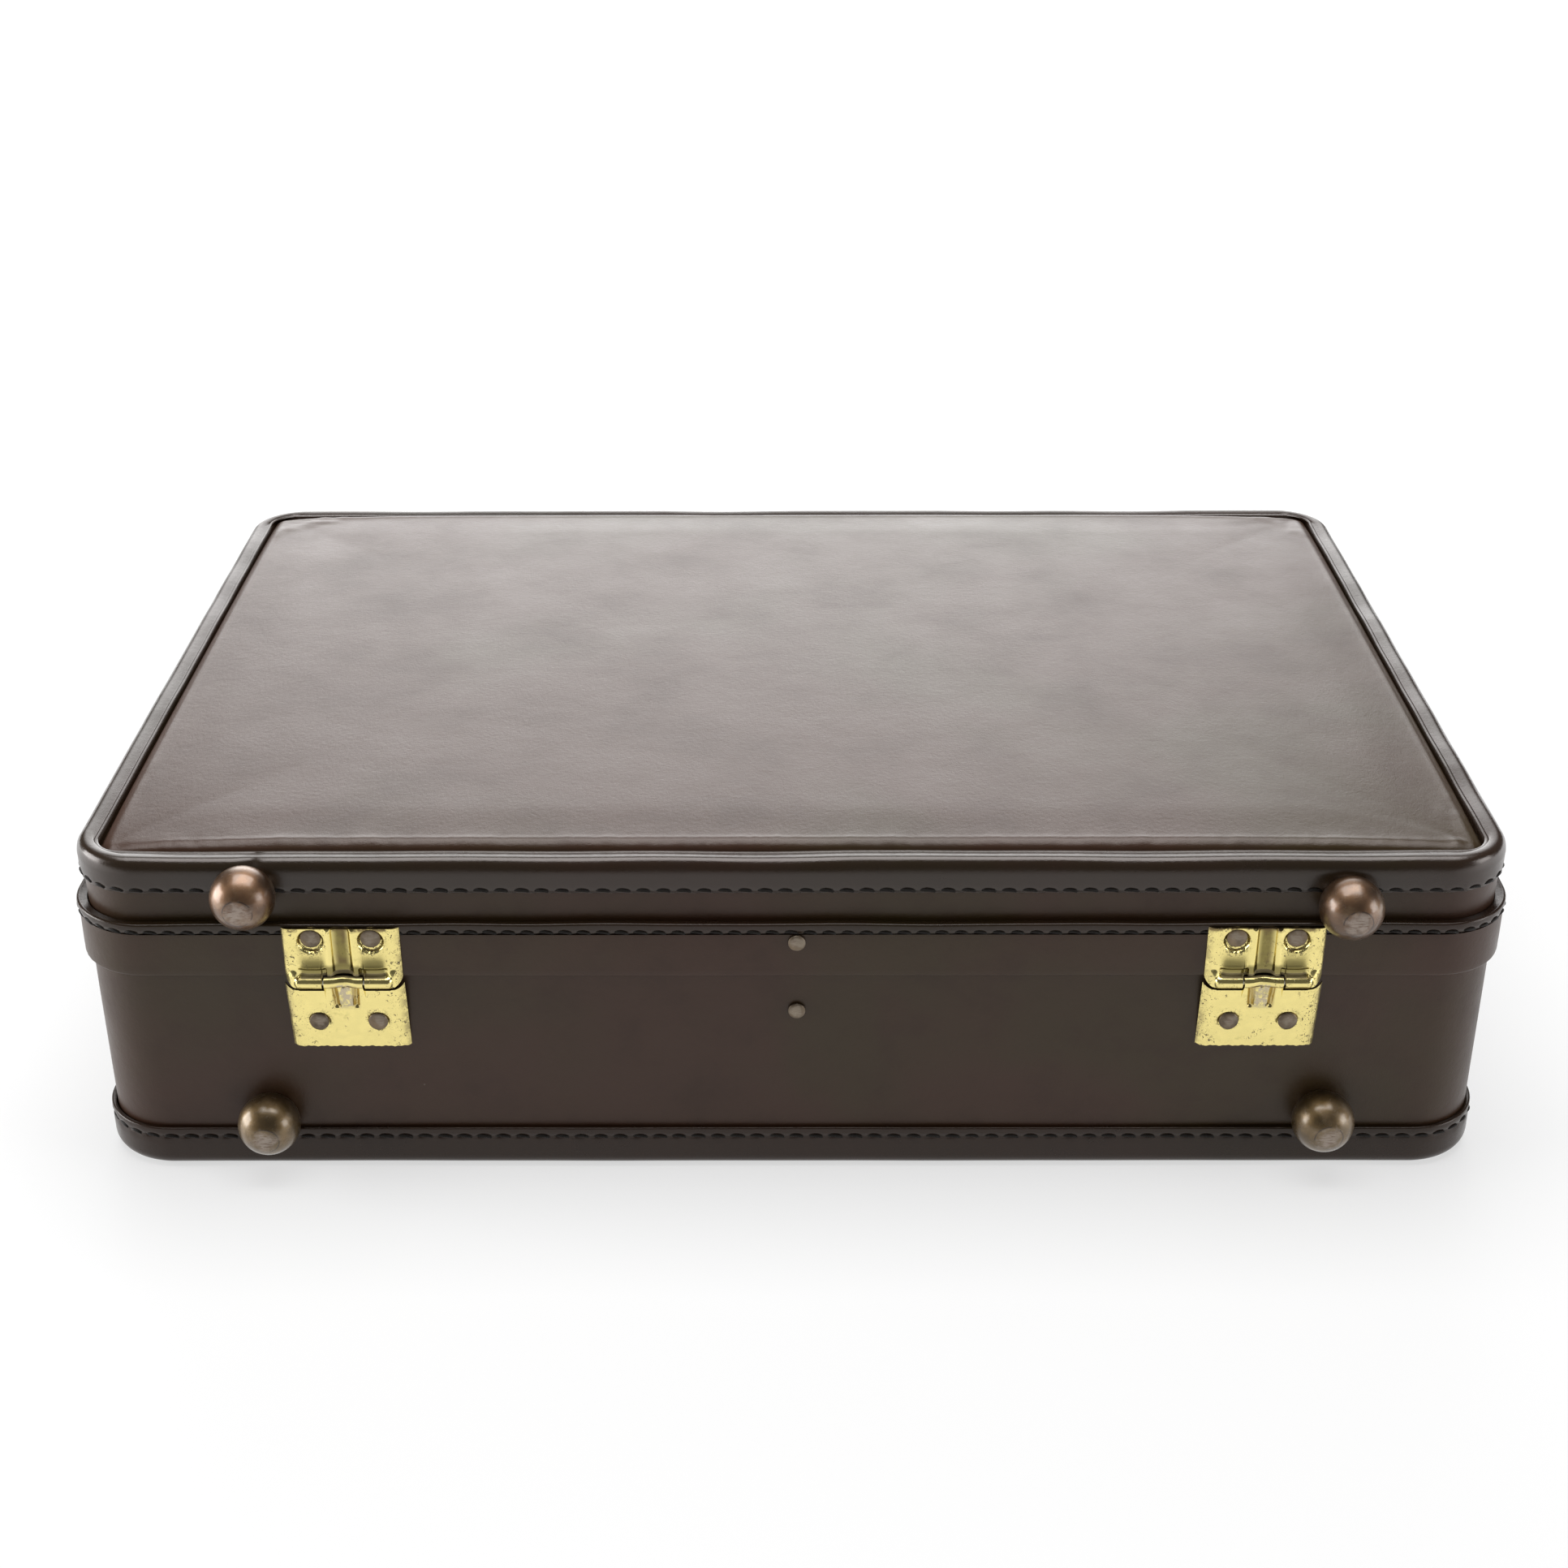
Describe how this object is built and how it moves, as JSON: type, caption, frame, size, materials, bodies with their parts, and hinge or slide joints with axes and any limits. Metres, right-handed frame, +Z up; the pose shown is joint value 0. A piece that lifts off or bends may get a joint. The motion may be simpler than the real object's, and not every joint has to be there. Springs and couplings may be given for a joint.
{
  "type": "poker chip case",
  "caption": "Leather covered carrying case with a hinged padded lid, domed rear feet, spring locks, a handle, two chip racks and a card tray.",
  "frame": {"origin": "under the middle of the case, on the surface that it lies on", "axes": "+X along the long side, +Y from the rear hinges to the handle, +Z up through the lid"},
  "size_m": [0.4492, 0.3322, 0.1136],
  "materials": {
    "body_leather": "dark brown smooth leather with olive patches, semi-gloss",
    "binding_leather": "darker stitched leather strip, slightly glossy",
    "frame_board": "raw plywood",
    "lining_felt": "green felt",
    "tray_walnut": "satin walnut",
    "bright_brass": "polished pressed brass, pitted by age",
    "aged_brass": "browned brass, worn pale at the tips",
    "steel_parts": "plain steel"
  },
  "bodies": {
    "base": {"base_side_leather": "body_leather", "base_frame": "frame_board", "base_wall_lining": "lining_felt", "base_floor_board": "frame_board", "base_bottom_leather": "body_leather", "base_bottom_binding": "binding_leather", "chip_rack_left": "tray_walnut", "chip_rack_right": "tray_walnut", "card_tray": "tray_walnut", "centre_strap": "body_leather", "centre_rivet_base": "aged_brass", "hinge_left_lower_leaf": "bright_brass", "hinge_left_pin": "steel_parts", "hinge_left_lower_rivet_outer": "aged_brass", "hinge_left_lower_rivet_inner": "aged_brass", "foot_base_left": "aged_brass", "lock_left_backplate": "steel_parts", "lock_left_cover": "bright_brass", "lock_left_bolt_spring": "steel_parts", "handle_post_left": "bright_brass", "hinge_right_lower_leaf": "bright_brass", "hinge_right_pin": "steel_parts", "hinge_right_lower_rivet_outer": "aged_brass", "hinge_right_lower_rivet_inner": "aged_brass", "foot_base_right": "aged_brass", "lock_right_backplate": "steel_parts", "lock_right_cover": "bright_brass", "lock_right_bolt_spring": "steel_parts", "handle_post_right": "bright_brass"},
    "lid": {"lid_side_leather": "body_leather", "lid_frame": "frame_board", "lid_wall_lining": "lining_felt", "lid_top_board": "frame_board", "lid_panel": "body_leather", "lid_cushion": "lining_felt", "lid_rim_binding": "binding_leather", "lid_band": "body_leather", "lid_band_hem": "binding_leather", "centre_rivet_lid": "aged_brass", "hinge_left_upper_leaf": "bright_brass", "hinge_left_upper_rivet_outer": "aged_brass", "hinge_left_upper_rivet_inner": "aged_brass", "foot_lid_left": "aged_brass", "hasp_left_bracket": "bright_brass", "hasp_left_pin": "steel_parts", "hinge_right_upper_leaf": "bright_brass", "hinge_right_upper_rivet_outer": "aged_brass", "hinge_right_upper_rivet_inner": "aged_brass", "foot_lid_right": "aged_brass", "hasp_right_bracket": "bright_brass", "hasp_right_pin": "steel_parts"},
    "handle": {"handle_ring_left": "bright_brass", "handle_ring_right": "bright_brass", "handle_grip": "binding_leather"},
    "hasp_left": {"hasp_left": "bright_brass"},
    "hasp_right": {"hasp_right": "bright_brass"},
    "button_left": {"lock_left_slide_button": "bright_brass"},
    "button_right": {"lock_right_slide_button": "bright_brass"}
  },
  "joints": [
    {"name": "lid_hinge", "type": "hinge", "parent": "base", "child": "lid", "pos_m": [0, -0.1563, 0.0722], "axis": [1, 0, 0], "range_deg": [0, 100], "deforming": ["centre_strap"]},
    {"name": "handle_swing", "type": "hinge", "parent": "base", "child": "handle", "pos_m": [0, 0.1587, 0.05], "axis": [1, 0, 0], "range_deg": [0, 165]},
    {"name": "hasp_left_turn", "type": "hinge", "parent": "lid", "child": "hasp_left", "pos_m": [-0.128, 0.1573, 0.0805], "axis": [1, 0, 0], "range_deg": [0, 110]},
    {"name": "hasp_right_turn", "type": "hinge", "parent": "lid", "child": "hasp_right", "pos_m": [0.128, 0.1573, 0.0805], "axis": [1, 0, 0], "range_deg": [0, 110]},
    {"name": "button_left_slide", "type": "slide", "parent": "base", "child": "button_left", "axis": [-1, 0, 0], "range_m": [0, 0.005], "stiffness_N_per_m": 300, "springref_m": -0.002, "deforming": ["lock_left_bolt_spring"]},
    {"name": "button_right_slide", "type": "slide", "parent": "base", "child": "button_right", "axis": [1, 0, 0], "range_m": [0, 0.005], "stiffness_N_per_m": 300, "springref_m": -0.002, "deforming": ["lock_right_bolt_spring"]}
  ]
}
